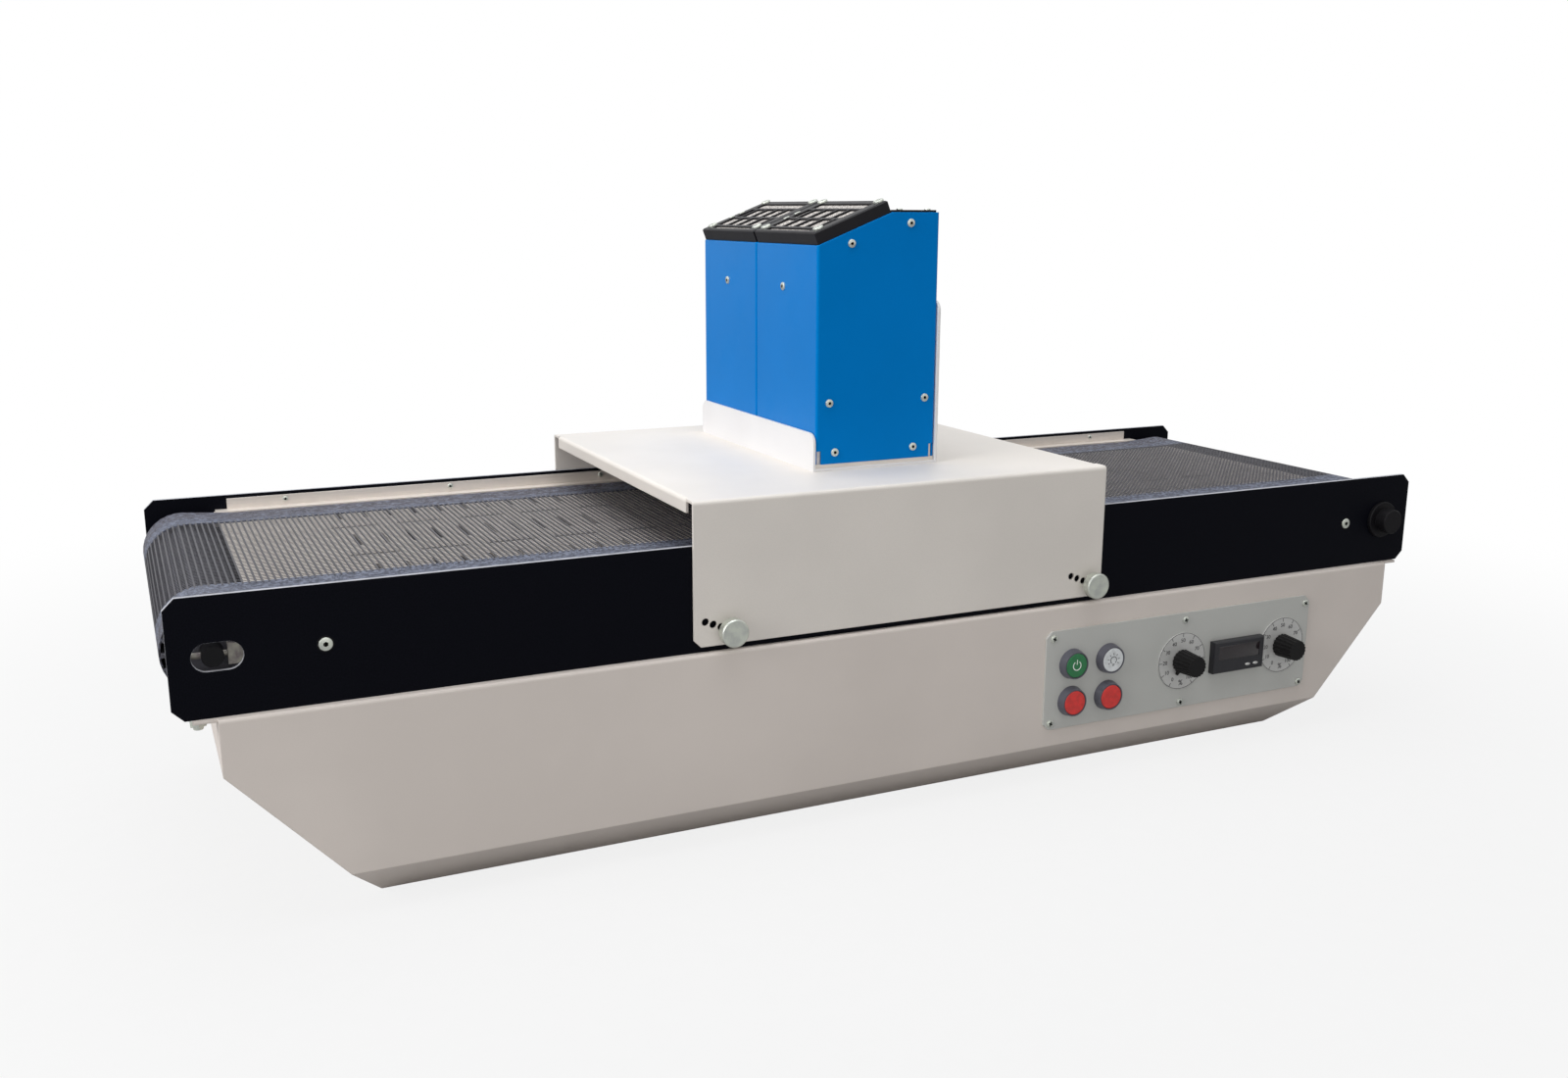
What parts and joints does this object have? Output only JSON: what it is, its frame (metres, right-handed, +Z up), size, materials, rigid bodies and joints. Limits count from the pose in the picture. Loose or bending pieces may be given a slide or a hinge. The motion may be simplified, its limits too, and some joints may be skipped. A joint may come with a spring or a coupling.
{
  "type": "uv conveyor dryer",
  "caption": "Bench-top UV curing conveyor: mesh belt between side plates on a slant-ended housing, with a tunnel cover carrying two lamp heads.",
  "frame": {"origin": "under the middle of the housing, on the surface it stands on", "axes": "+X along the belt towards the drive end, +Y to the back, away from the control panel, +Z up"},
  "size_m": [1.0034, 0.3613, 0.4465],
  "materials": {
    "housing_grey": "fine powder coat",
    "plate_black": "matt black powder coat",
    "belt_mesh": "open coated glass mesh",
    "roller_metal": "ribbed, dull",
    "cap_black": "moulded",
    "axle_black": "blackened",
    "zinc": "zinc plated",
    "deck_metal": "mill finish, slotted",
    "rail_aluminium": "mill finish",
    "cover_grey": "fine powder coat",
    "bracket_white": "fine powder coat",
    "lamp_blue": "semi-gloss coat",
    "quartz": "clear",
    "filter_black": "moulded grid",
    "filter_foam": "open speckled mat",
    "panel_metal": "pale printed sheet",
    "bezel_grey": "moulded",
    "lens_green": "translucent lens",
    "lens_white": "translucent lens",
    "lens_red": "translucent lens",
    "scale_silver": "printed scale disc",
    "knob_black": "fluted",
    "meter_black": "moulded bezel",
    "inlet_black": "moulded"
  },
  "bodies": {
    "frame": {"base_housing": "housing_grey", "front_side_plate": "plate_black", "back_side_plate": "plate_black", "conveyor_belt": "belt_mesh", "front_drive_bearing": "cap_black", "back_drive_bearing": "cap_black", "tail_axle": "axle_black", "front_tension_screw": "zinc", "back_tension_screw": "zinc", "cross_bars": "zinc", "belt_deck": "deck_metal", "front_guide_rail": "rail_aluminium", "back_guide_rail": "rail_aluminium", "tunnel_cover": "cover_grey", "front_infeed_thumb_screw": "zinc", "front_outfeed_thumb_screw": "zinc", "back_infeed_thumb_screw": "zinc", "back_outfeed_thumb_screw": "zinc", "lamp_bracket": "bracket_white", "front_lamp_housing": "lamp_blue", "front_lamp_chassis": "rail_aluminium", "front_lamp_window": "quartz", "front_filter_frame": "filter_black", "front_filter_mat": "filter_foam", "rear_lamp_housing": "lamp_blue", "rear_lamp_chassis": "rail_aluminium", "rear_lamp_window": "quartz", "rear_filter_frame": "filter_black", "rear_filter_mat": "filter_foam", "control_panel": "panel_metal", "button_bezels": "bezel_grey", "power_scale": "scale_silver", "speed_scale": "scale_silver", "speed_meter": "meter_black", "mains_inlet": "inlet_black"},
    "drive": {"drive_roller": "roller_metal", "front_shaft_cap": "cap_black", "back_shaft_cap": "cap_black"},
    "tail": {"tail_roller": "roller_metal"},
    "start_push": {"start_button": "lens_green"},
    "lamp_on_push": {"lamp_on_button": "lens_white"},
    "stop_push": {"stop_button": "lens_red"},
    "lamp_off_push": {"lamp_off_button": "lens_red"},
    "power_turn": {"power_knob": "knob_black"},
    "speed_turn": {"speed_knob": "knob_black"}
  },
  "joints": [
    {"name": "drive_roller_spin", "type": "hinge", "parent": "frame", "child": "drive", "pos_m": [0.4705, 0, 0.1807], "axis": [0, 1, 0], "continuous": true},
    {"name": "tail_roller_spin", "type": "hinge", "parent": "frame", "child": "tail", "pos_m": [-0.4745, 0, 0.1807], "axis": [0, 1, 0], "continuous": true},
    {"name": "start_button_press", "type": "slide", "parent": "frame", "child": "start_push", "axis": [0, 1, 0], "range_m": [0, 0.0025], "stiffness_N_per_m": 400, "springref_m": -0.002},
    {"name": "lamp_on_button_press", "type": "slide", "parent": "frame", "child": "lamp_on_push", "axis": [0, 1, 0], "range_m": [0, 0.0025], "stiffness_N_per_m": 400, "springref_m": -0.002},
    {"name": "stop_button_press", "type": "slide", "parent": "frame", "child": "stop_push", "axis": [0, 1, 0], "range_m": [0, 0.0025], "stiffness_N_per_m": 400, "springref_m": -0.002},
    {"name": "lamp_off_button_press", "type": "slide", "parent": "frame", "child": "lamp_off_push", "axis": [0, 1, 0], "range_m": [0, 0.0025], "stiffness_N_per_m": 400, "springref_m": -0.002},
    {"name": "power_knob_turn", "type": "hinge", "parent": "frame", "child": "power_turn", "pos_m": [0.2528, -0.17, 0.0836], "axis": [0, 1, 0], "range_deg": [0, 300]},
    {"name": "speed_knob_turn", "type": "hinge", "parent": "frame", "child": "speed_turn", "pos_m": [0.3593, -0.17, 0.0836], "axis": [0, 1, 0], "range_deg": [-240, 60]}
  ],
  "couplings": [
    {"joint": "tail_roller_spin", "follows": "drive_roller_spin", "ratio": 1}
  ]
}
